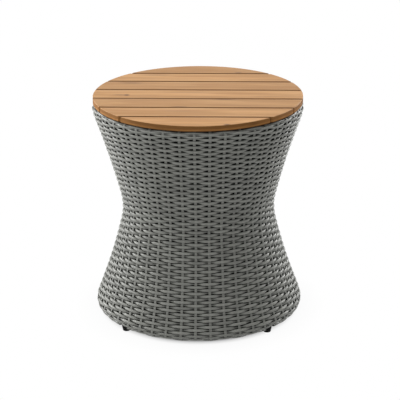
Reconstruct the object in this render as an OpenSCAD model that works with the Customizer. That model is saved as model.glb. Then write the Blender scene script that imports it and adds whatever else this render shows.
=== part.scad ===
// Round side table: a slatted wooden top on an hourglass body that is woven round a frame of tubes and flat bars.
// The table stands on the XY plane with its axis on Z. The slats run along X. All sizes are in millimetres.

/* [Top] */
// Height of the top surface above the floor
table_h = 486; // [420:1:560]
// Diameter of the slatted top
top_d = 450; // [400:1:500]
// Thickness of a slat
slat_t = 12; // [9:0.5:18]
// Gap between two slats
slat_gap = 5; // [3:0.5:8]
// Chamfer on the upper edges of the slats
slat_chamfer = 0.8; // [0.3:0.1:2]
// Width of the two battens under the slats
batten_w = 40; // [24:1:56]
// Distance from the edge of the top to the middle of a batten
batten_inset = 150; // [130:1:170]

/* [Woven body] */
// How far the woven rim stands out past the edge of the top
rim_reach = 2.5; // [0:0.5:6]
// How far the base stands out past the rim
base_reach = 1; // [0:0.5:6]
// Smallest diameter of the woven body, at its waist
waist_d = 332; // [290:1:370]
// Height of the waist above the floor
waist_h = 237; // [215:1:260]
// Radius of the arc that rounds the waist, seen from the side
waist_arc = 140; // [100:1:260]
// Radius of the long arc of the upper flank, seen from the side
upper_arc = 1840; // [1400:10:3000]
// Radius of the long arc of the lower flank, seen from the side
lower_arc = 1180; // [1000:10:3000]
// Thickness of the woven courses outside the stakes
weave_t = 5; // [4:0.1:7]
// Height of one woven course
course_pitch = 6.5; // [5:0.1:10]
// Depth of the groove between two courses
course_groove = 1.3; // [0.5:0.1:2]
// Diameter of the strands in the rim border and the base border
border_strand_d = 4; // [3:0.1:5]
// Width of a stake, the flat strand that the courses cross
stake_w = 6; // [4:0.1:8]
// Thickness of a stake
stake_t = 1.6; // [1:0.1:2.2]

/* [Frame] */
// Outer diameter of the tube of the top ring and the base ring
ring_tube_d = 16; // [13:0.5:20]
// Width of a rib, a flat bar bent to the outline
rib_w = 16; // [10:1:18]
// Thickness of a rib
rib_t = 5; // [3:0.5:7]
// Outer diameter of the tube of the waist ring
waist_tube_d = 10; // [8:0.5:14]
// Wall thickness of the tubes
tube_wall = 1.5; // [1:0.1:2.5]
// Width of the cross bars under the top
bar_w = 30; // [20:1:40]
// Thickness of the cross bars
bar_t = 4; // [3:0.5:6]

/* [Feet] */
// Height of the base ring's lowest wrapping above the floor
base_clear = 8.5; // [6:0.5:16]
// Diameter of a foot at its upper edge
foot_d = 19; // [16:0.5:24]
// Diameter of a foot at the floor
foot_tip_d = 16; // [12:0.5:20]
// Diameter of the stem that holds a foot in the base ring
stem_d = 8; // [6:0.5:10]

/* [Screws] */
// Shank diameter of the slat screws
slat_screw_d = 4; // [3.5:0.1:5]
// Shank diameter of the screws through the cross bars
frame_screw_d = 5; // [4:0.1:6]
// Distance from the long edge of an outer slat to its screws
screw_edge = 10; // [8:0.5:14]

/* [Hidden] */

slat_count = 7;
rib_count = 8;
foot_count = 4;
stake_count = 44;
rim_rows = 3;
base_rows = 4;
row_start = 1.06;
row_lap = 0.94;
hook_tip = 20;
fit = 0.2;
rib_room = 0.6;
screw_clear = 0.05;
hole_clear = 0.3;
stem_clear = 0.1;
foot_room = 0.5;
round_fn = 96;
strand_fn = 32;
arc_fn = 1440;
far = 3000;

wood_colour = [0.80, 0.64, 0.47];
batten_colour = [0.70, 0.53, 0.36];
wicker_colour = [0.49, 0.50, 0.48];
frame_colour = [0.30, 0.30, 0.30];
steel_colour = [0.75, 0.75, 0.76];
foot_colour = [0.06, 0.06, 0.06];

// Top: the slats share the diameter, and each one is cut to the circle
slat_w = (top_d - (slat_count - 1) * slat_gap) / slat_count;
slat_pitch = slat_w + slat_gap;
slat_under = table_h - slat_t;
batten_spread = top_d - 2 * batten_inset;

// Widest diameters of the woven body, at its rim and at its base
rim_d = top_d + 2 * rim_reach;
base_d = rim_d + 2 * base_reach;

// Around each ring lie the bent stake and then the border strands
hook_in = ring_tube_d / 2 + fit;
hook_out = hook_in + stake_t;
row_orbit = hook_out + fit + border_strand_d / 2;
row_reach = row_orbit + border_strand_d / 2;
top_ring_c = [rim_d / 2 - row_reach, slat_under - fit - hook_out];
base_ring_c = [base_d / 2 - row_reach, base_clear + hook_out];

// Depths below the outer face of the weave, square to it
stake_off = weave_t + fit;
ring_off = stake_off + stake_t + fit + ring_tube_d / 2;
rib_off = stake_off + stake_t + rib_room;
waist_ring_r = waist_d / 2 - rib_off - rib_t - fit - waist_tube_d / 2;

// Outline of the weave: one tight arc at the waist between two long arcs, which pass the rings at ring_off.
// Every arc has its centre outside the body, so a deeper layer has a larger radius.
waist_c = [waist_d / 2 + waist_arc, waist_h];
upper_c = meet(waist_c, upper_arc - waist_arc, top_ring_c, upper_arc + ring_off, -1);
lower_c = meet(waist_c, lower_arc - waist_arc, base_ring_c, lower_arc + ring_off, 1);
base_a = heading(base_ring_c - lower_c);
lower_a = heading(waist_c - lower_c);
upper_a = heading(waist_c - upper_c);
rim_a = heading(top_ring_c - upper_c);
ARCS = [
    [lower_c, lower_arc, base_a, lower_a],
    [waist_c, waist_arc, lower_a, upper_a],
    [upper_c, upper_arc, upper_a, rim_a]
];
arc_len = [for (a = ARCS) a[1] * (a[2] - a[3]) * PI / 180];
wall_len = arc_len[0] + arc_len[1] + arc_len[2];
course_count = round(wall_len / course_pitch);
course_h = wall_len / course_count;

// Frame under the top. Each cross bar runs below the gap between two slats, clear of the slat screws.
bar_spread = 3 * slat_pitch;
bar_top = top_ring_c[1] - ring_tube_d / 2 - fit / 2;
bar_end_r = top_ring_c[0] + ring_tube_d / 5;
batten_end_r = top_ring_c[0] - hook_out - 1;
batten_t = slat_under - bar_top;

// Screws
slat_screw_end = table_h - slat_t / 3;
slat_head_d = 2 * slat_screw_d;
slat_head_h = 0.55 * slat_screw_d;
frame_head_d = 1.8 * frame_screw_d;
frame_head_h = 0.6 * frame_screw_d;
frame_screw_end = bar_top + 0.75 * batten_t;

// One of the two points at distance ra from a and rb from b
function meet(a, ra, b, rb, side) =
    let (d = norm(b - a), u = (b - a) / d, x = (d * d + ra * ra - rb * rb) / (2 * d))
    a + u * x + side * sqrt(ra * ra - x * x) * [-u[1], u[0]];

// Direction of a vector in degrees, from 0 to 360
function heading(v) = (atan2(v[1], v[0]) + 360) % 360;

// Point on the outline at the length s above its lower end, sunk by depth towards the axis
function wall_pt(s, depth) =
    let (
        i = s <= arc_len[0] ? 0 : s <= arc_len[0] + arc_len[1] ? 1 : 2,
        start = i == 0 ? 0 : i == 1 ? arc_len[0] : arc_len[0] + arc_len[1],
        a = ARCS[i][2] - (s - start) / ARCS[i][1] * 180 / PI
    )
    ARCS[i][0] + (ARCS[i][1] + depth) * [cos(a), sin(a)];

// Positions along Y of the screws that hold slat i
function slat_screw_y(i) =
    let (y = (i - (slat_count - 1) / 2) * slat_pitch)
    i == 0 ? [y + slat_w / 2 - screw_edge]
    : i == slat_count - 1 ? [y - slat_w / 2 + screw_edge]
    : [y - slat_w / 4, y + slat_w / 4];

module wedge(a_from, a_to) {
    polygon([[0, 0], far * [cos(a_from), sin(a_from)], far * [cos(a_to), sin(a_to)]]);
}

// Flat layer of the wall between two depths, made of true arcs, in the plane of radius and height
module wall_layer(depth, thickness) {
    for (a = ARCS) {
        translate(a[0])
            intersection() {
                difference() {
                    circle(r = a[1] + depth + thickness, $fn = arc_fn);
                    circle(r = a[1] + depth, $fn = arc_fn);
                }
                wedge(a[3], a[2]);
            }
    }
}

// The end of a stake, bent round a ring and open between the two angles
module hook(c, open_from, open_to) {
    translate(c)
        difference() {
            circle(r = hook_out, $fn = round_fn);
            circle(r = hook_in, $fn = round_fn);
            wedge(open_from, open_to);
        }
}

module stake_section() {
    wall_layer(stake_off, stake_t);
    hook(top_ring_c, 180 + hook_tip, rim_a + 180);
    hook(base_ring_c, base_a - 180, 180 - hook_tip);
}

// Tube bent to a closed ring
module ring_tube(c, tube_d) {
    rotate_extrude($fn = round_fn)
        translate(c)
            difference() {
                circle(d = tube_d, $fn = strand_fn);
                circle(d = tube_d - 2 * tube_wall, $fn = strand_fn);
            }
}

// Rows of border strand lying round a ring, from the angle first_a on, in the direction turn
module border_rows(c, first_a, turn, rows) {
    half = asin(border_strand_d / 2 / row_orbit);
    rotate_extrude($fn = round_fn)
        for (k = [0:rows - 1]) {
            a = first_a + turn * half * (row_start + 2 * row_lap * k);
            translate(c + row_orbit * [cos(a), sin(a)]) circle(d = border_strand_d, $fn = strand_fn);
        }
}

module slat(i) {
    y = (i - (slat_count - 1) / 2) * slat_pitch;
    c = slat_chamfer;
    color(wood_colour)
        difference() {
            intersection() {
                rotate_extrude($fn = round_fn * 2)
                    polygon([
                        [0, slat_under], [top_d / 2, slat_under], [top_d / 2, table_h - c],
                        [top_d / 2 - c, table_h], [0, table_h]
                    ]);
                translate([-top_d / 2, y, 0])
                    rotate([90, 0, 90])
                        linear_extrude(top_d)
                            polygon([
                                [-slat_w / 2, slat_under], [slat_w / 2, slat_under], [slat_w / 2, table_h - c],
                                [slat_w / 2 - c, table_h], [-slat_w / 2 + c, table_h], [-slat_w / 2, table_h - c]
                            ]);
            }
            for (side = [-1, 1], sy = slat_screw_y(i))
                translate([side * batten_spread / 2, sy, slat_under - 1])
                    cylinder(d = slat_screw_d + 2 * screw_clear, h = slat_screw_end - slat_under + 1, $fn = strand_fn);
        }
}

module batten(side) {
    color(batten_colour)
        difference() {
            intersection() {
                translate([side * batten_spread / 2 - batten_w / 2, -batten_end_r, bar_top])
                    cube([batten_w, 2 * batten_end_r, batten_t]);
                translate([0, 0, bar_top]) cylinder(r = batten_end_r, h = batten_t, $fn = round_fn * 2);
            }
            translate([side * batten_spread / 2, 0, bar_top]) {
                for (i = [0:slat_count - 1], sy = slat_screw_y(i))
                    translate([0, sy, 0]) {
                        translate([0, 0, -1])
                            cylinder(d = slat_screw_d + 2 * screw_clear, h = batten_t + 2, $fn = strand_fn);
                        cylinder(
                            d1 = slat_head_d + 2 * screw_clear, d2 = slat_screw_d + 2 * screw_clear,
                            h = slat_head_h + screw_clear, $fn = strand_fn
                        );
                    }
                for (end = [-1, 1])
                    translate([0, end * bar_spread / 2, -1])
                        cylinder(d = frame_screw_d + 2 * screw_clear, h = frame_screw_end - bar_top + 1, $fn = strand_fn);
            }
        }
}

module slat_screws() {
    color(steel_colour)
        for (side = [-1, 1], i = [0:slat_count - 1], sy = slat_screw_y(i))
            translate([side * batten_spread / 2, sy, 0])
                rotate_extrude($fn = strand_fn)
                    polygon([
                        [0, bar_top + fit / 2], [slat_head_d / 2 - fit / 2, bar_top + fit / 2],
                        [slat_screw_d / 2, bar_top + slat_head_h], [slat_screw_d / 2, slat_screw_end - slat_screw_d],
                        [0, slat_screw_end - fit]
                    ]);
}

module frame_screws() {
    color(steel_colour)
        for (side = [-1, 1], end = [-1, 1])
            translate([side * batten_spread / 2, end * bar_spread / 2, 0])
                rotate_extrude($fn = strand_fn)
                    polygon([
                        [0, bar_top - bar_t - frame_head_h], [frame_head_d / 3, bar_top - bar_t - frame_head_h],
                        [frame_head_d / 2, bar_top - bar_t - frame_head_h / 2], [frame_head_d / 2, bar_top - bar_t],
                        [frame_screw_d / 2, bar_top - bar_t], [frame_screw_d / 2, frame_screw_end - frame_screw_d],
                        [0, frame_screw_end - fit]
                    ]);
}

module cross_bar(end) {
    color(frame_colour)
        difference() {
            intersection() {
                translate([-bar_end_r, end * bar_spread / 2 - bar_w / 2, bar_top - bar_t])
                    cube([2 * bar_end_r, bar_w, bar_t]);
                translate([0, 0, bar_top - bar_t]) cylinder(r = bar_end_r, h = bar_t, $fn = round_fn * 2);
            }
            for (side = [-1, 1])
                translate([side * batten_spread / 2, end * bar_spread / 2, bar_top - bar_t - 1])
                    cylinder(d = frame_screw_d + 2 * hole_clear, h = bar_t + 2, $fn = strand_fn);
        }
}

module top_ring() {
    color(frame_colour) ring_tube(top_ring_c, ring_tube_d);
}

module waist_ring() {
    color(frame_colour) ring_tube([waist_ring_r, waist_h], waist_tube_d);
}

module base_ring() {
    color(frame_colour)
        difference() {
            ring_tube(base_ring_c, ring_tube_d);
            for (i = [0:foot_count - 1])
                foot_place(i) cylinder(d = stem_d + 2 * stem_clear, h = base_ring_c[1], $fn = strand_fn);
        }
}

// One rib: a flat bar bent along the inside of the stakes, its ends cut to the tubes of both rings
module rib(i) {
    color(frame_colour)
        rotate([0, 0, i * 360 / rib_count])
            rotate([90, 0, 0])
                linear_extrude(rib_w, center = true)
                    difference() {
                        wall_layer(rib_off, rib_t);
                        for (c = [top_ring_c, base_ring_c])
                            translate(c) circle(d = ring_tube_d + 2 * fit, $fn = round_fn);
                    }
}

module stakes() {
    color(wicker_colour)
        for (i = [0:stake_count - 1])
            rotate([0, 0, i * 360 / stake_count])
                rotate([90, 0, 0])
                    linear_extrude(stake_w, center = true) stake_section();
}

// The woven courses: rounded rows, one above the other, on the outside of the stakes
module woven_wall() {
    crest = [[0, 1], [0.2, 0.25], [0.5, 0], [0.8, 0.25]];
    inner_step = 3;
    inner_count = floor(course_count / inner_step);
    outer = [
        for (i = [0:course_count - 1], p = crest) wall_pt((i + p[0]) * course_h, p[1] * course_groove),
        wall_pt(wall_len, course_groove)
    ];
    inner = [for (i = [inner_count:-1:0]) wall_pt(wall_len * i / inner_count, weave_t)];
    color(wicker_colour) rotate_extrude($fn = round_fn) polygon(concat(outer, inner));
}

module rim_border() {
    color(wicker_colour) border_rows(top_ring_c, rim_a + 180, 1, rim_rows);
}

module base_border() {
    color(wicker_colour)
        difference() {
            border_rows(base_ring_c, base_a + 180, -1, base_rows);
            for (i = [0:foot_count - 1])
                foot_place(i) cylinder(d = foot_d + 2 * foot_room, h = base_ring_c[1], $fn = round_fn);
        }
}

module foot_place(i) {
    rotate([0, 0, (i + 0.5) * 360 / foot_count]) translate([base_ring_c[0], 0, 0]) children();
}

// One foot: a tapered pad whose top is hollowed to the ring, on a stem that sits in a hole in the ring
module foot(i) {
    pad_top = base_ring_c[1] - ring_tube_d / 4;
    stem_top = base_ring_c[1] + ring_tube_d / 8;
    edge = foot_tip_d / 16;
    color(foot_colour)
        foot_place(i) {
            difference() {
                rotate_extrude($fn = round_fn)
                    polygon([
                        [0, 0], [foot_tip_d / 2 - edge, 0], [foot_tip_d / 2 - edge / 3, edge / 3],
                        [foot_tip_d / 2, edge], [foot_d / 2, base_clear], [foot_d / 2, pad_top], [0, pad_top]
                    ]);
                translate([0, 0, base_ring_c[1]])
                    rotate([90, 0, 0])
                        cylinder(d = ring_tube_d + 2 * fit, h = 2 * foot_d, center = true, $fn = round_fn);
            }
            translate([0, 0, base_clear / 2])
                cylinder(d = stem_d, h = stem_top - base_clear / 2, $fn = strand_fn);
        }
}

slat(0);  // slat_1
slat(1);  // slat_2
slat(2);  // slat_3
slat(3);  // slat_4
slat(4);  // slat_5
slat(5);  // slat_6
slat(6);  // slat_7
batten(-1);  // batten_left
batten(1);  // batten_right
slat_screws();
frame_screws();
cross_bar(-1);  // cross_bar_front
cross_bar(1);  // cross_bar_rear
top_ring();
waist_ring();
base_ring();
rib(0);  // rib_1
rib(1);  // rib_2
rib(2);  // rib_3
rib(3);  // rib_4
rib(4);  // rib_5
rib(5);  // rib_6
rib(6);  // rib_7
rib(7);  // rib_8
stakes();
woven_wall();
rim_border();
base_border();
foot(0);  // foot_1
foot(1);  // foot_2
foot(2);  // foot_3
foot(3);  // foot_4
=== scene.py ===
"""Looks of a round side table: a slatted wooden top on an hourglass body woven from half-round strands."""
import math
from collections import namedtuple

import bpy
import numpy as np
from bpy.props import FloatProperty, FloatVectorProperty, IntProperty, PointerProperty
from mathutils import Matrix, Vector


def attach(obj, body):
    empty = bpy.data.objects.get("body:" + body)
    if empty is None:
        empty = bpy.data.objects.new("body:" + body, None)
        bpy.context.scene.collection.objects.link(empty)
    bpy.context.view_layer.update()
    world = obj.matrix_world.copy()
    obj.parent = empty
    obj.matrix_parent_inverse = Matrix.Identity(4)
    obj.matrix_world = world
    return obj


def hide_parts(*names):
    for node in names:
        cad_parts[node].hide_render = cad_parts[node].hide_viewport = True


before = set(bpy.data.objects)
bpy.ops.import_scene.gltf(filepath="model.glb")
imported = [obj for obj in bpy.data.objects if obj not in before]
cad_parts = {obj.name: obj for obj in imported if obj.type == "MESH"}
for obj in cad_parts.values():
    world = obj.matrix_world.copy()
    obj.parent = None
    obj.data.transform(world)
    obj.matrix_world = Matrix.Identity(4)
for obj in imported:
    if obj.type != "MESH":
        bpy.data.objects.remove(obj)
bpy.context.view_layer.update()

bl_info = {
    "name": "Woven Side Table",
    "version": (1, 0, 0),
    "blender": (4, 5, 0),
    "location": "View3D > Sidebar > Side Table",
    "description": "Weaves the body of a round side table and finishes its wooden top, frame and feet",
    "category": "Object",
}

# CAD nodes that keep their shape
SLATS = ["slat_%d" % n for n in range(1, 8)]
BATTENS = ["batten_left", "batten_right"]
RINGS = ["top_ring", "waist_ring", "base_ring"]
BARS = ["cross_bar_front", "cross_bar_rear"] + ["rib_%d" % n for n in range(1, 9)]
SCREWS = ["slat_screws", "frame_screws"]
FEET = ["foot_%d" % n for n in range(1, 5)]

FULL_TURN = 2 * math.pi
FOOT_TURNS = [math.radians(45 + 90 * n) for n in range(4)]

# The top's wood, slat by slat from the front
SLAT_PITCH = 0.065      # a slat of 60 mm and a gap of 5 mm
SLAT_TONES = (1.125, 1.01, 0.915, 1.025, 0.915, 1.03, 0.90)
# Painted shade along each gap, where the slats' rounded edges fall into shade: how dark it is, from before
# the first slat to behind the last
GAP_SHADES = (0, 1.0, 0.85, 0.65, 0.8, 0.95, 1.0, 0)
GAP_SHADE_FULL, GAP_SHADE_OUT = 0.0026, 0.0050  # distances from a gap's middle at which the painted shade fades
# Knots of a slat: place in x and y, half length, half width and strength
KNOTS = {
    0: [(0.066, -0.2135, 0.009, 0.005, 0.7)],
    2: [(-0.036, -0.092, 0.024, 0.003, 0.7), (0.058, -0.0385, 0.030, 0.0034, 0.6)],
    3: [(-0.152, -0.009, 0.0080, 0.0080, 0.85), (-0.166, -0.008, 0.022, 0.0065, 0.40)],
    4: [(-0.150, 0.085, 0.034, 0.010, 0.32)],
    5: [(-0.100, 0.146, 0.050, 0.012, 0.22)],
    6: [(0.085, 0.171, 0.011, 0.005, 0.55)],
}

# Section of a half-round strand
ROUND_POINTS = 7        # points on its rounded side
ROUND_POWER = 0.85      # below 1, the rounded side is fuller than a half circle
BACK_HALF = 0.42        # half of the flat back, as a share of the strand's width
# Section of a flat stake, as shares of half its width and half its thickness
STAKE_SHOULDER, STAKE_SHOULDER_HEIGHT, STAKE_CROWN = 0.86, 0.8, 0.4
BEAT_SHARPNESS = 1.2    # how quickly a strand turns from over to under

# Where the strands lie
FRONT = 0.75            # the front of the table, as a share of the way round
FIRST_ROW, LAST_ROW = 0.75, 0.6  # distances of the end rows from the rim and from the base, in pitches
BASE_LIFT_RUN, RIM_LIFT_RUN = 0.030, 0.016  # lengths over which the weave rises from the two rings
FIRST_BORDER_ROW = 0.45     # place of the first border row, in pitches
BORDER_ROW_ORBIT = 0.96     # share of a stake's orbit on which the border rows are spaced
BORDER_ROW_DEPTH = 0.0007   # how far the border rows lie below a stake's middle
BORDER_SWING_TURN = 0.9     # turn over which the border rows become flatter, in radians

# Tones of the strands: 0 is plain, and higher is paler
ROW_CHANGE = 0.5        # from one row to another
# Painted light and shade on the rows: paler over a stake and midway, darker where a strand dives under one
MIDWAY_PAINTED_LIGHT = 0.5       # midway between two stakes
STAKE_TONE, STAKE_CHANGE = 0.5, 0.6
SEEDS = {"rows": 11, "stakes": 5, "rim": 21, "base": 22}

# Steps of the curves, and the turn at which a stake's end stops on the inside of a ring
HOOK_STEPS, FLANK_STEPS = 44, 150
HOOK_TIP = math.radians(200)
# Levels and rounds of the near-black sheet behind the weave, painted shade for the dark inside of the body
SHADE_LINING_LEVELS, SHADE_LINING_ROUNDS = 90, 176
SHADE_LINING_FROM_BASE, SHADE_LINING_FROM_RIM = 0.003, 0.001

# Texture places of the strands
STRAND_LAY = 0.006      # texture width of a strand
ROW_LAY = 0.0137        # step from row to row, so that no two rows have the same streaks
BORDER_LAY = 90         # number of the first border row, past those of the flank
STAKE_LAY, STAKE_LAY_RUN = 0.31, 4  # step from stake to stake, and stretch along a stake

# How a border and the stakes wrap a ring. Turns are in radians from the end of the flank.
#   way: 1 where the turn grows from the flank to the inside, -1 where it falls
#   stake_draw, draw_turn: how far a stake draws in, and the turn over which it does
#   hook_from, hook_turn: where a stake leaves the rows, and the turn over which it reaches the tube
#   row_draw, swing_loss: how far the rows draw in, and the share of their swing that they lose
#   tone: how pale the rows are
Border = namedtuple("Border", "way stake_draw draw_turn hook_from hook_turn row_draw swing_loss tone")
BORDERS = {
    "rim": Border(way=1, stake_draw=0.0014, draw_turn=0.8, hook_from=0.85, hook_turn=0.5,
                  row_draw=0.0010, swing_loss=0.45, tone=1.0),
    "base": Border(way=-1, stake_draw=0.0004, draw_turn=1.2, hook_from=1.3, hook_turn=0.6,
                   row_draw=0.0004, swing_loss=0.40, tone=0.4),
}

# Studio
FLOOR_HALF = 40
FLOOR_WHITE = (0.86, 0.86, 0.86)
WHITE = (1, 1, 1)
# How much of the backdrop's even white the camera sees on the floor, by the distance from the table's middle
GLOW_REACH = 3.0
GLOW_STOPS = ((0.0, 0.0), (0.198, 0.0), (0.216, 0.92), (0.285, 1.0))
# Soft panels: place, height of the point that they face, and size
PANELS = {
    "overhead_panel": ((0.0, -0.2, 2.7), 0.3, (2.2, 2.2)),
    "left_panel": ((-2.1, 0.85, 0.9), 0.25, (1.4, 1.6)),
    "right_panel": ((1.7, 1.6, 0.9), 0.25, (1.2, 1.6)),
    "front_panel": ((-2.6, -1.9, 1.6), 0.25, (1.6, 1.6)),
}
SENSOR_WIDTH = 36
CAMERA_SEES = 200


def length(name, text, value):
    """A size in metres."""
    return FloatProperty(name=name, description=text, default=value, unit="LENGTH", precision=5)


def degrees(name, text, value):
    """An angle, whose default is given in degrees."""
    return FloatProperty(
        name=name, description=text, default=math.radians(value), subtype="ANGLE", unit="ROTATION")


def colour(name, text, value):
    """A colour in linear light."""
    return FloatVectorProperty(
        name=name, description=text, default=value, subtype="COLOR", size=3, min=0, max=1)


def share(name, text, value):
    """A share of one."""
    return FloatProperty(name=name, description=text, default=value, min=0, subtype="FACTOR")


def watts(name, text, value):
    """The power of a light."""
    return FloatProperty(name=name, description=text, default=value, unit="POWER")


class BodySizes(bpy.types.PropertyGroup):
    """Sizes of the body's outline, as the CAD part has them."""
    top_diameter: length("Top diameter", "Diameter of the slatted top", 0.450)
    table_height: length("Table height", "Height of the top surface above the floor", 0.486)
    slat_thickness: length("Slat thickness", "Thickness of a slat", 0.012)
    rim_reach: length("Rim reach", "How far the woven rim stands out past the top", 0.0025)
    base_reach: length("Base reach", "How far the base stands out past the rim", 0.001)
    waist_diameter: length("Waist diameter", "Smallest diameter of the body", 0.332)
    waist_height: length("Waist height", "Height of the waist above the floor", 0.237)
    waist_arc: length("Waist arc", "Radius of the arc that rounds the waist", 0.140)
    upper_arc: length("Upper arc", "Radius of the long arc of the upper flank", 1.840)
    lower_arc: length("Lower arc", "Radius of the long arc of the lower flank", 1.180)
    ring_tube: length("Ring tube", "Outer diameter of the tube of the top and base ring", 0.016)
    wall_thickness: length("Wall thickness", "Thickness of the rows outside the stakes", 0.005)
    hook_thickness: length("Hook thickness", "Thickness of a stake where it wraps a ring", 0.0016)
    border_strand: length("Border strand", "Thickness kept for the border rows", 0.004)
    base_clearance: length("Base clearance", "Height of the base ring's wrapping above the floor", 0.0085)
    clearance: length("Clearance", "Room left between two layers", 0.0002)
    foot_room: length("Foot room", "Radius kept free of strands around a foot", 0.0105)


class WeaveSizes(bpy.types.PropertyGroup):
    """Sizes of the strands and of their spacing."""
    stake_count: IntProperty(name="Stakes", description="Number of upright stakes", default=44, min=8)
    steps_per_bay: IntProperty(
        name="Steps per bay", description="Mesh steps from stake to stake", default=8, min=4)
    strand_width: length("Strand width", "Width of a half-round strand midway between two stakes", 0.0062)
    border_width: length("Border strand width", "Width of a strand in the border rows", 0.0042)
    swell: share("Swell", "Share by which a strand is wider over a stake than midway", 0.07)
    pinch: share("Pinch", "Share by which a strand is narrower under a stake than midway", 0.55)
    strand_crown: length("Strand crown", "Height of a strand's rounded side", 0.0027)
    strand_back: length("Strand back", "Thickness of a strand behind its edges", 0.0003)
    mid_depth: length("Middle depth", "Depth of the strands' edges midway between two stakes", 0.0047)
    stake_depth: length("Stake depth", "Depth of a stake's middle below the crests", 0.0036)
    swing: length("Swing", "How far a strand moves in and out of the middle", 0.0020)
    lift: length("Lift", "How far the weave stands out further away from the two rings", 0.0008)
    # The near-black sheet behind the weave is painted shade for the dark inside of the body
    shade_lining_depth: length("Lining depth", "Depth of the lining's outer side below the crests", 0.0071)
    shade_lining_thickness: length("Lining thickness", "Thickness of the lining", 0.0002)
    row_pitch: length("Row pitch", "Distance between two rows over most of the body", 0.0065)
    rim_pitch: length("Rim pitch", "Distance between two rows just under the rim", 0.0057)
    rim_ease: length("Rim ease", "Length over which the rows open out below the rim", 0.060)
    stake_width: length("Stake width", "Width of a stake", 0.0058)
    stake_thickness: length("Stake thickness", "Thickness of a stake", 0.0012)
    border_crown: length("Border crown", "Height of a border strand's rounded side", 0.0012)
    border_pitch: length("Border pitch", "Distance between two border rows", 0.0041)
    waist_spread: share("Waist spread", "How much wider the bays are at the front of the waist", 0.17)
    uneven: length("Unevenness", "How far hand work moves a strand from its place", 0.00022)
    uneven_swing: share("Uneven swing", "Share by which hand work changes a strand's swing", 0.06)
    uneven_bay: share("Uneven bays", "How far hand work moves a stake, as a share of a bay", 0.02)


class TableFinishes(bpy.types.PropertyGroup):
    """Colours of the table's materials."""
    strand: colour("Strand", "Grey of the woven strands", (0.175, 0.179, 0.159))
    strand_dark: colour("Dark strand", "Darker streaks in the strands", (0.105, 0.107, 0.097))
    strand_pale: colour("Pale strand", "Paler strands among the others", (0.312, 0.317, 0.287))
    wood_pale: colour("Pale wood", "Light grain of the slats", (0.622, 0.345, 0.147))
    wood_warm: colour("Warm wood", "Warm grain of the slats", (0.474, 0.240, 0.089))
    wood_grey: colour("Greyed wood", "Weathered streaks in the slats", (0.360, 0.200, 0.097))
    # The edge colours are darker than the top partly for the oiled end grain and partly as painted shade on
    # the upright faces
    wood_edge: colour("Edge wood", "Oiled edge of the slats", (0.222, 0.096, 0.024))
    wood_edge_warm: colour("Warm edge wood", "Lighter layers in the slats' edge", (0.450, 0.200, 0.052))
    knot: colour("Knot", "Knots in the slats", (0.090, 0.040, 0.022))
    batten: colour("Batten", "Wood of the battens", (0.42, 0.23, 0.11))
    frame_metal: colour("Frame", "Powder coat of the frame", (0.045, 0.046, 0.047))
    screw_steel: colour("Screws", "Steel of the screws", (0.55, 0.55, 0.56))
    # Painted shade: colour of the near-black sheet behind the weave, standing in for the dark inside of the
    # body
    lining: colour("Lining", "Plastic liner behind the weave", (0.006, 0.006, 0.006))
    foot_plastic: colour("Feet", "Plastic of the feet", (0.004, 0.004, 0.004))


class StudioSettings(bpy.types.PropertyGroup):
    """Camera and light of the studio."""
    focal_length: FloatProperty(
        name="Focal length", description="Focal length in mm on a 36 mm sensor", default=138.3)
    camera_distance: length("Camera distance", "From the camera to the middle of the top", 3.298)
    camera_angle: degrees("Camera angle", "How far the camera stands above the top", 16.525)
    camera_turn: degrees("Camera turn", "How far the camera stands to the right of the front", 2.04)
    camera_dip: degrees("Camera dip", "How far below the top's middle the camera looks", 3.942)
    camera_pan: degrees("Camera pan", "How far right of the top's middle the camera looks", 0.056)
    camera_roll: degrees("Camera roll", "Roll of the camera about its own axis", -0.325)
    ambient: share("Ambient light", "Strength of the light from all round", 0.25)
    overhead_panel: watts("Overhead light", "Power of the overhead panel", 26)
    left_panel: watts("Left light", "Power of the panel on the left", 46)
    right_panel: watts("Right light", "Power of the panel behind on the right", 35.5)
    front_panel: watts("Front light", "Power of the panel at the front left", 18)


# Side view of the body

def circles_meet(a, ra, b, rb, side):
    """One of the two points at the distance ra from a and rb from b."""
    a, b = np.array(a), np.array(b)
    d = np.hypot(*(b - a))
    u = (b - a) / d
    x = (d * d + ra * ra - rb * rb) / (2 * d)
    return a + u * x + side * math.sqrt(ra * ra - x * x) * np.array([-u[1], u[0]])


def heading(v):
    """Angle of a direction in the plane of radius and height, from 0 to a full turn."""
    return math.atan2(v[1], v[0]) % FULL_TURN


def ease(x):
    """0 up to 0, 1 from 1 on, and a smooth rise between."""
    x = np.clip(x, 0, 1)
    return x * x * (3 - 2 * x)


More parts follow.
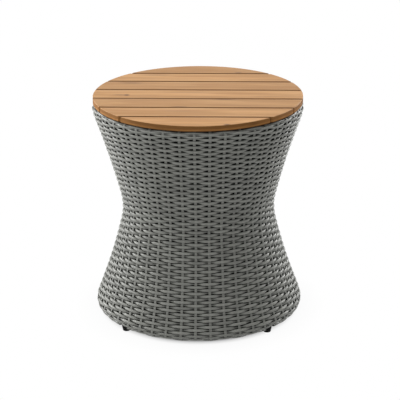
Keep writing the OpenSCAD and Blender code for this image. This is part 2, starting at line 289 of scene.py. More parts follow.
class BodyOutline:
    """Three tangent arcs from the base ring to the top ring, in the plane of radius and height."""

    def __init__(self, size):
        hook = size.ring_tube / 2 + size.clearance + size.hook_thickness
        reach = hook + size.clearance + size.border_strand
        rim_radius = size.top_diameter / 2 + size.rim_reach
        rim_height = size.table_height - size.slat_thickness - size.clearance - hook
        self.hook_orbit = hook - size.hook_thickness / 2
        self.ring_depth = size.wall_thickness + 2 * size.clearance + size.hook_thickness + size.ring_tube / 2
        rim_ring = np.array([rim_radius - reach, rim_height])
        base_ring = np.array([rim_radius + size.base_reach - reach, size.base_clearance + hook])
        waist = np.array([size.waist_diameter / 2 + size.waist_arc, size.waist_height])
        upper = circles_meet(
            waist, size.upper_arc - size.waist_arc, rim_ring, size.upper_arc + self.ring_depth, -1)
        lower = circles_meet(
            waist, size.lower_arc - size.waist_arc, base_ring, size.lower_arc + self.ring_depth, 1)
        turns = [
            heading(base_ring - lower), heading(waist - lower),
            heading(waist - upper), heading(rim_ring - upper)]
        self.centres = np.array([lower, waist, upper])
        self.radii = np.array([size.lower_arc, size.waist_arc, size.upper_arc])
        self.starts = np.array(turns[:3])
        spans = self.radii * (self.starts - np.array(turns[1:]))
        self.begins = np.array([0, spans[0], spans[0] + spans[1]])
        self.length = spans.sum()
        self.rings = {"rim": rim_ring, "base": base_ring}
        self.flank_ends = {"rim": turns[3] - math.pi, "base": turns[0] - math.pi}

    def at(self, s, depth):
        """Radius, height, outward and upward directions at the length s from the base.

        The depth is measured inwards from the crests of the weave.
        """
        i = np.searchsorted(self.begins[1:], s, side="right")
        a = self.starts[i] - (s - self.begins[i]) / self.radii[i]
        c, d = self.centres[i], self.radii[i] + depth
        out = np.stack([-np.cos(a), -np.sin(a)], -1)
        up = np.stack([np.sin(a), -np.cos(a)], -1)
        return c[..., 0] - d * out[..., 0], c[..., 1] - d * out[..., 1], out, up

    def round_ring(self, end, turn, orbit):
        """The same four values on a circle round the ring at one end."""
        centre = self.rings[end]
        out = np.stack([np.cos(turn), np.sin(turn)], -1)
        up = np.stack([-np.sin(turn), np.cos(turn)], -1)
        return centre[0] + orbit * out[..., 0], centre[1] + orbit * out[..., 1], out, up

    def stake_orbit(self, weave):
        """Distance of a stake's middle from a ring's centre, where the stake leaves the flank."""
        return self.ring_depth - weave.stake_depth


# Strands

def half_round(crown, back):
    """Section of a strand: shares of its width across, and lengths outward. The outer side is rounded."""
    turn = np.linspace(math.pi, 0, ROUND_POINTS)
    outer = [(math.cos(t) / 2, crown * math.sin(t) ** ROUND_POWER) for t in turn]
    return np.array(outer + [(BACK_HALF, -back), (-BACK_HALF, -back)])


def flat_section(width, thickness):
    """Section of a stake: lengths across and outward."""
    half, edge = width / 2, thickness / 2
    shoulder, crown = half * STAKE_SHOULDER, half * STAKE_CROWN
    return np.array([
        (-shoulder, -edge), (shoulder, -edge), (half, 0), (shoulder, edge * STAKE_SHOULDER_HEIGHT),
        (crown, edge), (-crown, edge), (-shoulder, edge * STAKE_SHOULDER_HEIGHT), (-half, 0)])


def bay_angle(u, spread, stake_count):
    """Angle round the table at the bay number u. Stake n stands at u = n, and the front bays can be wider."""
    from_front = (u - stake_count * FRONT) * FULL_TURN / stake_count
    return from_front + spread * np.sin(from_front) - math.pi / 2


def smooth_wander(rng, rows, count, steps):
    """Random values at each stake of each row, joined smoothly round the body."""
    knots = rng.normal(size=(rows, count))
    u = np.arange(count * steps) / steps
    i = u.astype(int)
    t = ease(u - i)
    return knots[:, i] * (1 - t) + knots[:, (i + 1) % count] * t


def sections(angle, radius, height, out, up, slope, profile, width, flatness):
    """Points of a strand's sections, one for each step and each point of the profile."""
    across, away = profile[:, 0] * width[..., None], profile[:, 1] * flatness[..., None]
    r = radius[..., None] + across * up[..., 0, None] + away * out[..., 0, None]
    z = height[..., None] + across * up[..., 1, None] + away * out[..., 1, None]
    aside = -away * slope[..., None]
    return round_axis(angle[..., None], r, aside, z)


def round_axis(angle, radius, aside, height):
    """Points at an angle round the table's axis, moved aside at right angles to the radius."""
    c, s = np.cos(angle), np.sin(angle)
    return np.stack([radius * c - aside * s, radius * s + aside * c, height], -1)


def over_under(u):
    """1 over a stake and -1 under the next, with the turns between kept short."""
    return np.tanh(BEAT_SHARPNESS * np.cos(math.pi * u)) / math.tanh(BEAT_SHARPNESS)


def fullness(beat, weave):
    """Width of a strand as a share of its width midway, at a beat of 1 over a stake and -1 under it."""
    return 1 + (weave.swell + weave.pinch) / 2 * beat + (weave.swell - weave.pinch) / 2 * beat ** 2


def smooth_piece(name, points, faces):
    """A new object with a smooth mesh."""
    mesh = bpy.data.meshes.new(name)
    mesh.from_pydata(points, [], faces)
    mesh.polygons.foreach_set("use_smooth", [True] * len(mesh.polygons))
    mesh.update()
    return linked(name, mesh)


def linked(name, data):
    """A new object in the scene."""
    made = bpy.data.objects.new(name, data)
    bpy.context.scene.collection.objects.link(made)
    return made


def strand_piece(name, strands, closed):
    """One object of many strands: for each, its sections' points in order, its tones and texture places."""
    points, faces, tones, lays = [], [], [], []
    base = 0
    for sections_of, tone, lay in strands:
        n, p = sections_of.shape[:2]
        number = base + np.arange(n * p).reshape(n, p)
        ahead = np.roll(number, -1, 0) if closed else number[1:]
        here = number if closed else number[:-1]
        quads = np.stack([here, ahead, np.roll(ahead, -1, 1), np.roll(here, -1, 1)], -1)
        faces.extend(quads.reshape(-1, 4).tolist())
        if not closed:
            faces.append(number[0].tolist())
            faces.append(number[-1][::-1].tolist())
        points.append(sections_of.reshape(-1, 3))
        tones.append(np.repeat(tone, p))
        lays.append(lay.reshape(-1, 3))
        base += n * p
    piece = smooth_piece(name, np.concatenate(points).tolist(), faces)
    marks = piece.data.attributes
    tone, lay = np.concatenate(tones).astype(np.float32), np.concatenate(lays).astype(np.float32)
    marks.new("tone", "FLOAT", "POINT").data.foreach_set("value", tone)
    marks.new("lay", "FLOAT_VECTOR", "POINT").data.foreach_set("vector", lay.ravel())
    return piece


def lay_round(angle, profile, row):
    """Texture place of a strand that runs round the body without a seam."""
    place = np.zeros((len(angle), len(profile), 3))
    place[..., 0] = np.cos(angle)[:, None]
    place[..., 1] = np.sin(angle)[:, None]
    place[..., 2] = profile[:, 0] * STRAND_LAY + row * ROW_LAY
    return place


def row_levels(total, weave):
    """Lengths from the base at which the rows lie, closer together under the rim."""
    levels = [total - weave.rim_pitch * FIRST_ROW]
    while levels[-1] > weave.row_pitch:
        run = total - levels[-1]
        pitch = weave.row_pitch - (weave.row_pitch - weave.rim_pitch) * math.exp(-run / weave.rim_ease)
        levels.append(levels[-1] - pitch)
    levels = np.array(levels)
    rest = weave.row_pitch * LAST_ROW
    return total - (total - levels) * (total - rest) / (total - levels[-1])


def spread_at(s, total, weave):
    """Share by which the front bays are wider at a length s: full at the waist, nothing at the two rings."""
    return weave.waist_spread * np.sin(math.pi * (s / total)) ** 2


def lift_at(s, total, weave):
    """How far the weave stands out at a length s: nothing at the two rings, where it meets the borders."""
    return weave.lift * ease(s / BASE_LIFT_RUN) * ease((total - s) / RIM_LIFT_RUN)


def put_on(piece, material, slot, *nodes):
    """Gives a new piece its material and puts it in the place of CAD nodes."""
    piece.data.materials.append(material)
    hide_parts(*nodes)
    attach(piece, "root")


def dress(nodes, material):
    """Gives CAD nodes that keep their shape a new material."""
    for name in nodes:
        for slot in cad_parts[name].material_slots:
            slot.material = material


# Materials

class Nodes:
    """Short names for the shader nodes of one material or world."""

    def __init__(self, owner):
        owner.use_nodes = True
        self.owner, self.tree = owner, owner.node_tree
        self.shader = self.tree.nodes.get("Principled BSDF")

    def add(self, kind, **values):
        """A new node with these settings."""
        node = self.tree.nodes.new(kind)
        for key, value in values.items():
            setattr(node, key, value)
        return node

    def feed(self, socket, value):
        """Joins another node's socket to this one, or sets a number or a colour on it."""
        if hasattr(value, "links"):
            self.tree.links.new(value, socket)
        elif isinstance(value, (int, float)):
            socket.default_value = value
        else:
            socket.default_value = (*value, 1)

    def place(self):
        """Place of a point on the table, in metres."""
        return self.add("ShaderNodeTexCoord").outputs["Object"]

    def mark(self, name, socket):
        """One of the values that the strands' meshes carry."""
        return self.add("ShaderNodeAttribute", attribute_name=name).outputs[socket]

    def parts(self, vector):
        """The X, Y and Z sockets of a vector."""
        node = self.add("ShaderNodeSeparateXYZ")
        self.feed(node.inputs[0], vector)
        return node.outputs

    def length(self, vector):
        """Length of a vector."""
        node = self.add("ShaderNodeVectorMath", operation="LENGTH")
        self.feed(node.inputs[0], vector)
        return node.outputs["Value"]

    def mapped(self, vector, scale, shift=(0, 0, 0)):
        """A vector that is scaled and then shifted."""
        node = self.add("ShaderNodeMapping")
        node.inputs["Scale"].default_value = scale
        node.inputs["Location"].default_value = shift
        self.feed(node.inputs["Vector"], vector)
        return node.outputs["Vector"]

    def noise(self, place, scale, shift=(0, 0, 0), detail=2.0, roughness=0.5, distortion=0.0):
        """Noise from 0 to 1. The scale is its number of waves per metre in each direction."""
        node = self.add("ShaderNodeTexNoise")
        values = {"Scale": 1, "Detail": detail, "Roughness": roughness, "Distortion": distortion}
        for key, value in values.items():
            node.inputs[key].default_value = value
        self.feed(node.inputs["Vector"], self.mapped(place, scale, shift))
        return node.outputs["Fac"]

    def spread(self, source, low, high, to_low=0.0, to_high=1.0):
        """Carries the values from low to high smoothly to those from to_low to to_high."""
        node = self.add("ShaderNodeMapRange", interpolation_type="SMOOTHSTEP")
        values = {"From Min": low, "From Max": high, "To Min": to_low, "To Max": to_high}
        for key, value in values.items():
            node.inputs[key].default_value = value
        self.feed(node.inputs["Value"], source)
        return node.outputs["Result"]

    def math(self, operation, *values):
        """Arithmetic on sockets and numbers."""
        node = self.add("ShaderNodeMath", operation=operation)
        for socket, value in zip(node.inputs, values):
            self.feed(socket, value)
        return node.outputs["Value"]

    def mix(self, share_of_b, a, b, blend="MIX"):
        """Mix of two colours."""
        node = self.add("ShaderNodeMix", data_type="RGBA", blend_type=blend)
        for socket, value in ((0, share_of_b), (6, a), (7, b)):
            self.feed(node.inputs[socket], value)
        return node.outputs[2]

    def mix_shaders(self, share_of_b, a, b):
        """Mix of two shader nodes."""
        node = self.add("ShaderNodeMixShader")
        for socket, value in zip(node.inputs, (share_of_b, a.outputs[0], b.outputs[0])):
            self.feed(socket, value)
        return node

    def finish(self, base, roughness, relief, depth, **constants):
        """Feeds the shader and returns the material. The relief is a bump of this depth, in metres."""
        bump = self.add("ShaderNodeBump")
        bump.inputs["Strength"].default_value = 1
        bump.inputs["Distance"].default_value = depth
        self.feed(bump.inputs["Height"], relief)
        self.feed(self.shader.inputs["Normal"], bump.outputs["Normal"])
        self.feed(self.shader.inputs["Base Color"], base)
        self.feed(self.shader.inputs["Roughness"], roughness)
        for key, value in constants.items():
            self.shader.inputs[key.replace("_", " ")].default_value = value
        return self.owner


def nodes_of(name):
    """Nodes of a new material."""
    return Nodes(bpy.data.materials.new(name))


def shade(colour, times):
    """A colour made darker or paler."""
    return tuple(times * c for c in colour)


def strand_material(finish, name):
    """Matt extruded strand: fine lengthwise streaks, small changes of grey from strand to strand, and on the
    woven rows painted highlight over the stakes and painted shade under them, carried by the tone mark.
    """
    m = nodes_of(name)
    tone, lay = m.mark("tone", "Fac"), m.mark("lay", "Vector")
    streak = m.noise(lay, (26, 26, 1900), detail=3, roughness=0.6)
    cloud = m.noise(lay, (22, 22, 160))
    base = m.mix(m.spread(tone, -1.8, 1.8), finish.strand_dark, finish.strand_pale)
    base = m.mix(0.40, base, finish.strand)
    base = m.mix(m.spread(cloud, 0.35, 0.7, 0.0, 0.42), base, finish.strand_dark)
    base = m.mix(m.spread(streak, 0.3, 0.75, 0.0, 0.50), base, finish.strand_pale)
    return m.finish(base, m.spread(streak, 0.2, 0.8, 0.38, 0.50), streak, 0.00012, Specular_IOR_Level=0.6)


def slat_material(finish, body, n):
    """Oiled hardwood: long grain, knots and painted shade along the gaps on top, and dark, layered edges,
    darker partly for the oiled end grain and partly as painted shade.

    The slats are numbered from 0 at the front.
    """
    m = nodes_of("slat_wood_%d" % (n + 1))
    place = m.place()
    shift = (0.37 * n, 0.213 * n, 0.11 * n)  # so that no two slats have the same grain
    grain = m.noise(place, (9, 330, 330), shift, detail=4, roughness=0.62, distortion=0.25)
    facing_up = m.parts(m.add("ShaderNodeNewGeometry").outputs["Normal"])["Z"]
    top = slat_grain(m, finish, n, place, shift, grain)
    top = slat_knots(m, finish, n, place, grain, top)
    top = slat_gap_shade(m, finish, n, place, top)
    edge = slat_edge(m, finish, body, place, shift)
    dull = m.math("MAXIMUM", m.spread(grain, 0.3, 0.8, 0.50, 0.66), m.spread(facing_up, 0.15, 0.75, 0.9, 0.0))
    # The edge colours are darker than the top partly for the oiled end grain and partly as painted shade on
    # the upright faces
    wood = m.mix(m.spread(facing_up, 0.15, 0.75), edge, top)
    return m.finish(wood, dull, grain, 0.00018, Specular_IOR_Level=0.35)


def slat_grain(m, finish, n, place, shift, grain):
    """Colour of a slat's upper side: broad bands, grain, greyed streaks and pores."""
    broad = m.noise(place, (4.5, 46, 30), shift, detail=3, distortion=0.4)
    pores = m.noise(place, (55, 1500, 1500), shift)
    grey = m.noise(place, (6, 70, 40), (1.7 + n, 0.4, 0.2), detail=3)
    top = m.mix(m.spread(broad, 0.34, 0.68), finish.wood_warm, finish.wood_pale)
    top = m.mix(m.spread(grain, 0.42, 0.78, 0.0, 0.55), top, finish.wood_warm)
    top = m.mix(m.spread(grey, 0.55, 0.78, 0.0, 0.45), top, finish.wood_grey)
    top = m.mix(m.spread(pores, 0.58, 0.75, 0.0, 0.22), top, finish.wood_edge)
    return m.mix(1.0, top, (SLAT_TONES[n],) * 3, "MULTIPLY")


def slat_knots(m, finish, n, place, grain, top):
    """Knots as long blots whose rims the grain frays."""
    for x, y, half_long, half_wide, strength in KNOTS.get(n, ()):
        away = m.mapped(place, (1 / half_long, 1 / half_wide, 0), (-x / half_long, -y / half_wide, 0))
        blot = m.math("ADD", m.length(away), m.math("MULTIPLY", grain, 0.6))
        top = m.mix(m.spread(blot, 0.55, 1.35, strength, 0.0), top, finish.knot)
    return top


def slat_gap_shade(m, finish, n, place, top):
    """Painted shade along a slat's two gaps, where its rounded edges fall into shade, each as strong as
    listed for its gap.
    """
    y = m.parts(place)["Y"]
    middle = SLAT_PITCH * (n - 3)
    strength = m.spread(y, middle - 0.01, middle + 0.01, *GAP_SHADES[n:n + 2])
    from_gap = m.math("PINGPONG", m.math("ADD", y, 2.5 * SLAT_PITCH), SLAT_PITCH / 2)
    line = m.math("MULTIPLY", m.spread(from_gap, GAP_SHADE_FULL, GAP_SHADE_OUT, 1.0, 0.0), strength)
    return m.mix(line, top, shade(finish.wood_edge_warm, 0.42))


def slat_edge(m, finish, body, place, shift):
    """Colour of a slat's edge: layers, with painted light and shade making the lower part paler and the upper
    part darker, painted light making it paler at the table's sides, and painted shade along the bottom and in
    the gaps.
    """
    x, _, z = m.parts(place)
    bottom = body.table_height - body.slat_thickness
    rim = body.top_diameter / 2
    layers = m.noise(place, (26, 26, 520), shift, detail=3, roughness=0.6)
    # Painted light and shade: the lower part of the edge is paler and warmer, and the upper part darker
    layers = m.math("ADD", layers, m.spread(z, bottom + 0.0005, bottom + 0.0085, 0.20, -0.22))
    edge = m.mix(m.spread(layers, 0.32, 0.85), finish.wood_edge, finish.wood_edge_warm)
    # Painted light: the edge is paler towards the table's two sides, as if lit from the side panels
    side_light = m.spread(m.math("ABSOLUTE", x), 0.118, 0.142, 0.0, 0.20)
    edge = m.mix(side_light, edge, shade(finish.wood_edge_warm, 1.2))
    # Painted shadow along the bottom of the edge, where the top sits on the weave
    edge = m.mix(m.spread(z, bottom + 0.0002, bottom + 0.0024, 0.75, 0.0), edge, shade(finish.wood_edge, 0.2))
    # Painted shade on the slats' faces inside the gaps
    in_gap_shade = m.spread(m.length(m.mapped(place, (1, 1, 0))), rim - 0.0045, rim - 0.0015, 1.0, 0.0)
    return m.mix(in_gap_shade, edge, shade(finish.wood_edge_warm, 0.30))


def batten_material(finish):
    """Planed wood without oil, with its grain across the slats."""
    m = nodes_of("batten_wood")
    place = m.place()
    grain = m.noise(place, (330, 9, 330), detail=4, roughness=0.6)
    broad = m.noise(place, (60, 4, 40))
    base = m.mix(m.spread(broad, 0.3, 0.7), finish.batten, finish.wood_warm)
    base = m.mix(m.spread(grain, 0.45, 0.8, 0, 0.5), base, finish.wood_edge)
    return m.finish(base, 0.65, grain, 0.00025, Specular_IOR_Level=0.3)


def coated_metal(finish):
    """Powder coat with its fine orange-peel surface."""
    m = nodes_of("powder_coat")
    place = m.place()
    peel = m.noise(place, (900, 900, 900), detail=3)
    cloud = m.noise(place, (30, 30, 30))
    base = m.mix(m.spread(cloud, 0.3, 0.7), shade(finish.frame_metal, 0.8), finish.frame_metal)
    return m.finish(base, m.spread(cloud, 0.3, 0.7, 0.42, 0.5), peel, 0.00006)


def liner_plastic(finish):
    """Near-black matt sheet with a fine grain: painted shade that stands in for the dark inside of the woven
    body.
    """
    m = nodes_of("liner_plastic")
    place = m.place()
    grain = m.noise(place, (1500, 1500, 1500))
    cloud = m.noise(place, (40, 40, 40))
    pale = shade(finish.lining, 2.2)
    base = m.mix(m.spread(cloud, 0.3, 0.7, 0, 0.4), finish.lining, pale)
    base = m.mix(m.spread(grain, 0.4, 0.7, 0, 0.5), base, pale)
    return m.finish(base, 0.95, grain, 0.0001, Specular_IOR_Level=0.05)


def turned_steel(finish):
    """Bright steel with the fine rings of turning."""
    m = nodes_of("screw_steel")
    turning = m.noise(m.place(), (500, 500, 4000), detail=3)
    base = m.mix(m.spread(turning, 0.3, 0.7), shade(finish.screw_steel, 0.7), finish.screw_steel)
    return m.finish(base, m.spread(turning, 0.3, 0.7, 0.3, 0.42), turning, 0.00003, Metallic=1.0)


def moulded_plastic(finish):
    """Black plastic with a fine spark-eroded grain, scuffed near the floor."""
    m = nodes_of("foot_plastic")
    place = m.place()
    grain = m.noise(place, (1300, 1300, 1300), detail=3)
    scuff = m.math("MULTIPLY", m.spread(m.parts(place)["Z"], 0.0, 0.004, 1, 0), grain)
    base = m.mix(m.spread(scuff, 0.2, 0.6), finish.foot_plastic, shade(finish.foot_plastic, 3.0))
    return m.finish(base, m.spread(grain, 0.3, 0.7, 0.5, 0.6), grain, 0.00005, Specular_IOR_Level=0.08)


# The steps of the making

class SIDETABLE_OT_camera(bpy.types.Operator):
    """Places the camera at the height and turn of the view"""
    bl_idname = "side_table.camera"
    bl_label = "Camera"

    def execute(self, context):
        studio = context.scene.studio_settings
        height = context.scene.body_sizes.table_height
        e = studio.camera_angle
        back = Vector((0, -math.cos(e), math.sin(e)))
        up = Vector((0, math.sin(e), math.cos(e)))
        ahead = -back + Vector((1, 0, 0)) * math.tan(studio.camera_pan) - up * math.tan(studio.camera_dip)
        ahead.normalize()
        right = ahead.cross(up).normalized()
        over = right.cross(ahead)
        data = bpy.data.cameras.new("view_camera")
        data.lens = studio.focal_length
        data.sensor_width = SENSOR_WIDTH
        data.clip_end = CAMERA_SEES
        camera = linked("view_camera", data)
        turned = Matrix.Rotation(studio.camera_turn, 4, "Z")
        moved = Matrix.Translation(back * studio.camera_distance + Vector((0, 0, height)))
        aimed = Matrix((right, over, -ahead)).transposed().to_4x4()
        camera.matrix_world = turned @ moved @ aimed @ Matrix.Rotation(studio.camera_roll, 4, "Z")
        context.scene.camera = camera
        return {"FINISHED"}


class SIDETABLE_OT_top(bpy.types.Operator):
    """Gives the slats and battens of the top their wood"""
    bl_idname = "side_table.top"
    bl_label = "Wooden Top"

    def execute(self, context):
        finish = context.scene.table_finishes
        for n, name in enumerate(SLATS):
            dress([name], slat_material(finish, context.scene.body_sizes, n))
        dress(BATTENS, batten_material(finish))
        return {"FINISHED"}


class SIDETABLE_OT_courses(bpy.types.Operator):
    """Weaves the rows of half-round strand over one stake and under the next"""
    bl_idname = "side_table.courses"
    bl_label = "Woven Rows"

    def execute(self, context):
        weave = context.scene.weave_sizes
        outline = BodyOutline(context.scene.body_sizes)
        levels = row_levels(outline.length, weave)
        count, steps, rows = weave.stake_count, weave.steps_per_bay, len(levels)
        rng = np.random.default_rng(SEEDS["rows"])
        u = np.arange(count * steps) / steps
        side = np.where(np.arange(rows) % 2, -1.0, 1.0)[:, None]
        beat = side * over_under(u)
        lift = lift_at(levels, outline.length, weave)[:, None]
        loose = 1 + weave.uneven_swing * smooth_wander(rng, rows, count, steps)
        depth = weave.mid_depth - lift - weave.swing * np.minimum(loose, 1) * beat
        s = levels[:, None] + weave.uneven * smooth_wander(rng, rows, count, steps)
        angle = bay_angle(u, spread_at(s, outline.length, weave), count)
        radius, height, out, up = outline.at(s, depth)
        slope = np.gradient(-depth, axis=1) / (radius * np.gradient(angle, axis=1))
        profile = half_round(weave.strand_crown, weave.strand_back)
        full = fullness(beat, weave)
        width = weave.strand_width * np.minimum(-np.gradient(levels) / weave.row_pitch, 1)[:, None]
        points = sections(angle, radius, height, out, up, slope, profile, width * full, np.minimum(full, 1))
        # Each row has its own tone, which wanders along it. Painted highlight makes a strand paler over a
        # stake, and painted shade makes it darker where it dives under one.
        tones = rng.normal(size=(rows, 1)) * ROW_CHANGE + smooth_wander(rng, rows, count, steps)
        tones = tones + beat + MIDWAY_PAINTED_LIGHT * (1 - beat ** 2)
        lays = [lay_round(angle[j], profile, j) for j in range(rows)]
        piece = strand_piece("woven_rows", zip(points, tones, lays), True)
        put_on(piece, strand_material(context.scene.table_finishes, "row_strand"), "wicker", "woven_wall")
        return {"FINISHED"}


class SIDETABLE_OT_shade_lining(bpy.types.Operator):
    """Puts a thin near-black sheet behind the weave: painted shade that stands in for the dark inside of the
    body
    """
    bl_idname = "side_table.lining"
    bl_label = "Lining"

    def execute(self, context):
        weave = context.scene.weave_sizes
        outline = BodyOutline(context.scene.body_sizes)
        levels = np.linspace(SHADE_LINING_FROM_BASE, outline.length - SHADE_LINING_FROM_RIM, SHADE_LINING_LEVELS)
        s = np.concatenate([levels, levels[::-1]])
        outer, inner = weave.shade_lining_depth, weave.shade_lining_depth + weave.shade_lining_thickness
        r, z = outline.at(s, np.repeat([outer, inner], SHADE_LINING_LEVELS))[:2]
        turn = np.arange(SHADE_LINING_ROUNDS) * FULL_TURN / SHADE_LINING_ROUNDS
        points = round_axis(turn, r[:, None], 0, z[:, None] + 0 * turn)
        number = np.arange(len(s) * SHADE_LINING_ROUNDS).reshape(-1, SHADE_LINING_ROUNDS)
        above = np.roll(number, -1, 0)
        faces = np.stack([number, np.roll(number, -1, 1), np.roll(above, -1, 1), above], -1)
        piece = smooth_piece("lining", points.reshape(-1, 3).tolist(), faces.reshape(-1, 4).tolist())
        put_on(piece, liner_plastic(context.scene.table_finishes), "wicker", "woven_wall")
        return {"FINISHED"}


class SIDETABLE_OT_stakes(bpy.types.Operator):
    """Sets the upright stakes and bends their ends round the top ring and the base ring"""
    bl_idname = "side_table.stakes"
    bl_label = "Stakes"

    def execute(self, context):
        weave = context.scene.weave_sizes
        outline = BodyOutline(context.scene.body_sizes)
        s, (radius, height, out, up) = stake_path(outline, weave)
        profile = flat_section(weave.stake_width, weave.stake_thickness)
        across, away = profile[:, 0], profile[:, 1]
        r = radius[:, None] + away * out[:, 0, None]
        z = height[:, None] + away * out[:, 1, None]
        spread = spread_at(s, outline.length, weave)
        rng = np.random.default_rng(SEEDS["stakes"])
        strands = []
        for n in range(weave.stake_count):
            angle = bay_angle(n + weave.uneven_bay * rng.normal(), spread, weave.stake_count)
            tone = np.full(len(s), STAKE_TONE + STAKE_CHANGE * rng.normal())
            lay = np.zeros((*r.shape, 3))
            lay[..., 0] = STAKE_LAY * n
            lay[..., 1] = s[:, None] * STAKE_LAY_RUN
            lay[..., 2] = across
            strands.append((round_axis(angle[:, None], r, across, z), tone, lay))
        piece = strand_piece("stake_strands", strands, False)
        put_on(piece, strand_material(context.scene.table_finishes, "stake_strand"), "wicker", "stakes")
        return {"FINISHED"}


def stake_path(outline, weave):
    """A stake's way from its tip in the base ring to its tip in the top ring.

    Gives the lengths from the base, and the four values of the outline at each.
    """
    total = outline.length
    base_turns = np.linspace(-HOOK_TIP, outline.flank_ends["base"], HOOK_STEPS)[:-1]
    flank = np.linspace(0, total, FLANK_STEPS)
    rim_turns = np.linspace(outline.flank_ends["rim"], HOOK_TIP, HOOK_STEPS)[1:]
    stretches = [
        stake_hook(outline, "base", base_turns, weave),
        outline.at(flank, weave.stake_depth - lift_at(flank, total, weave)),
        stake_hook(outline, "rim", rim_turns, weave),
    ]
    s = np.concatenate([np.zeros(len(base_turns)), flank, np.full(len(rim_turns), total)])
    return s, [np.concatenate(values) for values in zip(*stretches)]


def stake_hook(outline, end, turns, weave):
    """Where a stake lies on its way round a ring, drawn in to the ring past the border rows."""
    border = BORDERS[end]
    past = border.way * (turns - outline.flank_ends[end])
    orbit = outline.stake_orbit(weave) - border.stake_draw * ease(past / border.draw_turn)
    tight = ease((past - border.hook_from) / border.hook_turn)
    return outline.round_ring(end, turns, orbit * (1 - tight) + outline.hook_orbit * tight)


def border_rows(context, end, rows, open_rows):
    """Weaves the rows of the border at one end round its ring. The last open_rows stop at the feet."""
    body, weave, finish = context.scene.body_sizes, context.scene.weave_sizes, context.scene.table_finishes
    outline, border = BodyOutline(body), BORDERS[end]
    count, steps = weave.stake_count, weave.steps_per_bay
    rng = np.random.default_rng(SEEDS[end])
    profile = half_round(weave.border_crown, weave.strand_back)
    wall = outline.stake_orbit(weave)
    all_round = np.arange(count * steps) / steps
    gap = body.foot_room / outline.rings[end][0]
    foot_to_foot = []
    for foot in FOOT_TURNS:
        first, last = (foot + gap) * count / FULL_TURN, (foot + math.pi / 2 - gap) * count / FULL_TURN
        foot_to_foot.append(np.linspace(first, last, count * steps // len(FOOT_TURNS)))
    closed_runs, open_runs = [], []
    for j in range(rows):
        past = (j + FIRST_BORDER_ROW) * weave.border_pitch / (wall * BORDER_ROW_ORBIT)
        turn = outline.flank_ends[end] + border.way * past
        orbit = wall - BORDER_ROW_DEPTH - border.row_draw * ease(past / border.draw_turn)
        swing = weave.swing * (1 - border.swing_loss * ease(past / BORDER_SWING_TURN))
        tone = rng.normal() * ROW_CHANGE + border.tone
        is_open = j >= rows - open_rows
        for u in foot_to_foot if is_open else [all_round]:
            beat = over_under(u) * (1 if j % 2 else -1)
            angle = bay_angle(u, 0.0, count)
            orbits = orbit + swing * beat
            r, z, out, up = outline.round_ring(end, np.full(u.shape, turn), orbits)
            slope = np.gradient(orbits) / (r * np.gradient(angle))
            full = fullness(beat, weave)
            width = weave.border_width * full
            points = sections(angle, r, z, out, up, slope, profile, width, np.minimum(full, 1))
            run = (points, np.full(len(u), tone), lay_round(angle, profile, BORDER_LAY + j))
            (open_runs if is_open else closed_runs).append(run)
    for name, runs, closed in ((end + "_rows", closed_runs, True), (end + "_rows_under", open_runs, False)):
        if runs:
            piece = strand_piece(name, runs, closed)
            put_on(piece, strand_material(finish, name + "_strand"), "wicker", end + "_border")


class SIDETABLE_OT_rim(bpy.types.Operator):
    """Lays the tight rows under the top round the top ring"""
    bl_idname = "side_table.rim"
    bl_label = "Rim Border"

    def execute(self, context):
        border_rows(context, "rim", rows=3, open_rows=0)
        return {"FINISHED"}


class SIDETABLE_OT_base(bpy.types.Operator):
    """Lays the tight rows at the base round the base ring, past the feet"""
    bl_idname = "side_table.base"
    bl_label = "Base Border"

    def execute(self, context):
        border_rows(context, "base", rows=4, open_rows=2)
        return {"FINISHED"}


class SIDETABLE_OT_frame(bpy.types.Operator):
    """Coats the metal frame and finishes the screws"""
    bl_idname = "side_table.frame"
    bl_label = "Frame and Screws"

    def execute(self, context):
        dress(RINGS + BARS, coated_metal(context.scene.table_finishes))
        dress(SCREWS, turned_steel(context.scene.table_finishes))
        return {"FINISHED"}


class SIDETABLE_OT_feet(bpy.types.Operator):
    """Gives the feet their black plastic"""
    bl_idname = "side_table.feet"
    bl_label = "Feet"

    def execute(self, context):
        dress(FEET, moulded_plastic(context.scene.table_finishes))
        return {"FINISHED"}


def backdrop_rays(m):
    """One for camera, mirror and glass rays, so that all of them see the plain backdrop."""
    path = m.add("ShaderNodeLightPath")
    total = path.outputs["Is Camera Ray"]
    for name in ("Is Glossy Ray", "Is Transmission Ray"):
        total = m.math("MAXIMUM", total, path.outputs[name])
    return total


def floor_paper():
    """Matt white paper that takes the table's shadow close by, and is evenly white further out."""
    m = nodes_of("white_paper")
    m.tree.nodes.clear()
    matt = m.add("ShaderNodeBsdfDiffuse")
    m.feed(matt.inputs["Color"], FLOOR_WHITE)
    glow = m.add("ShaderNodeEmission")
    ramp = m.add("ShaderNodeValToRGB")
    stops = ramp.color_ramp.elements
    for away, value in GLOW_STOPS:
        stop = stops[0] if away == 0 else stops.new(away / GLOW_REACH)
        stop.position, stop.color = away / GLOW_REACH, (value, value, value, 1)
    m.feed(ramp.inputs[0], m.math("MULTIPLY", m.length(m.place()), 1 / GLOW_REACH))
    white_share = m.math("MULTIPLY", backdrop_rays(m), ramp.outputs["Color"])
    surface = m.add("ShaderNodeOutputMaterial")
    m.feed(surface.inputs["Surface"], m.mix_shaders(white_share, matt, glow).outputs[0])
    return m.owner


def studio_world(ambient):
    """Soft light from all round, behind a plain white backdrop."""
    m = Nodes(bpy.data.worlds.new("studio"))
    m.tree.nodes.clear()
    around, behind = m.add("ShaderNodeBackground"), m.add("ShaderNodeBackground")
    for background, strength in ((around, ambient), (behind, 1.0)):
        m.feed(background.inputs["Color"], WHITE)
        m.feed(background.inputs["Strength"], strength)
    surface = m.add("ShaderNodeOutputWorld")
    m.feed(surface.inputs["Surface"], m.mix_shaders(backdrop_rays(m), around, behind).outputs[0])
    return m.owner


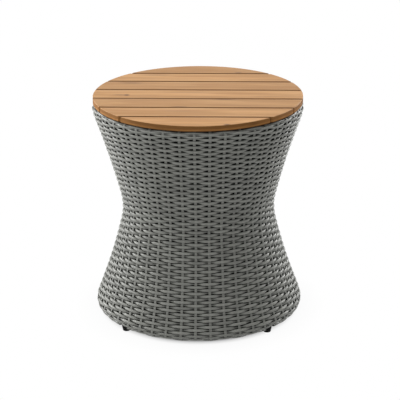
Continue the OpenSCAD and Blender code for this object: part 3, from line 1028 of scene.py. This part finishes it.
def panel_light(name, place, aim_height, size, power):
    """A soft panel that faces the table."""
    lamp = bpy.data.lights.new(name, "AREA")
    lamp.shape = "RECTANGLE"
    lamp.size, lamp.size_y = size
    lamp.energy = power
    light = linked(name, lamp)
    light.location = place
    light.rotation_euler = (Vector((0, 0, aim_height)) - Vector(place)).to_track_quat("-Z", "Y").to_euler()


class SIDETABLE_OT_stage(bpy.types.Operator):
    """Sets up the white floor, the backdrop and the soft panels"""
    bl_idname = "side_table.stage"
    bl_label = "Studio"

    def execute(self, context):
        scene, studio = context.scene, context.scene.studio_settings
        scene.view_settings.view_transform = "Standard"
        mesh = bpy.data.meshes.new("studio_floor")
        corners = [(x * FLOOR_HALF, y * FLOOR_HALF, 0) for x, y in ((-1, -1), (1, -1), (1, 1), (-1, 1))]
        mesh.from_pydata(corners, [], [(0, 1, 2, 3)])
        mesh.materials.append(floor_paper())
        floor = linked("studio_floor", mesh)
        scene.world = studio_world(studio.ambient)
        for name, (place, aim_height, size) in PANELS.items():
            panel_light(name, place, aim_height, size, getattr(studio, name))
        return {"FINISHED"}


class SIDETABLE_PT_panel(bpy.types.Panel):
    """Lists the steps of the table, with its sizes and colours"""
    bl_idname = "SIDETABLE_PT_panel"
    bl_label = "Side Table"
    bl_space_type = "VIEW_3D"
    bl_region_type = "UI"
    bl_category = "Side Table"

    def draw(self, context):
        for step in STEPS:
            self.layout.operator(step.bl_idname)
        for group in GROUPS:
            box = self.layout.box()
            held = getattr(context.scene, group)
            for name in held.__annotations__:
                box.prop(held, name)


STEPS = (
    SIDETABLE_OT_camera, SIDETABLE_OT_top, SIDETABLE_OT_courses, SIDETABLE_OT_shade_lining, SIDETABLE_OT_stakes,
    SIDETABLE_OT_rim, SIDETABLE_OT_base, SIDETABLE_OT_frame, SIDETABLE_OT_feet, SIDETABLE_OT_stage,
)
GROUPS = {
    "body_sizes": BodySizes, "weave_sizes": WeaveSizes, "table_finishes": TableFinishes,
    "studio_settings": StudioSettings,
}


def register():
    """Registers the classes and puts their sizes and colours on the scene."""
    for kind in (*GROUPS.values(), *STEPS, SIDETABLE_PT_panel):
        bpy.utils.register_class(kind)
    for name, kind in GROUPS.items():
        setattr(bpy.types.Scene, name, PointerProperty(type=kind))


def unregister():
    """Undoes what register does."""
    for name in GROUPS:
        delattr(bpy.types.Scene, name)
    for kind in (SIDETABLE_PT_panel, *STEPS, *reversed(GROUPS.values())):
        bpy.utils.unregister_class(kind)


def main():
    """Makes the table step by step."""
    register()
    for step in STEPS:
        group, name = step.bl_idname.split(".")
        getattr(getattr(bpy.ops, group), name)()


if __name__ == "__main__":
    main()
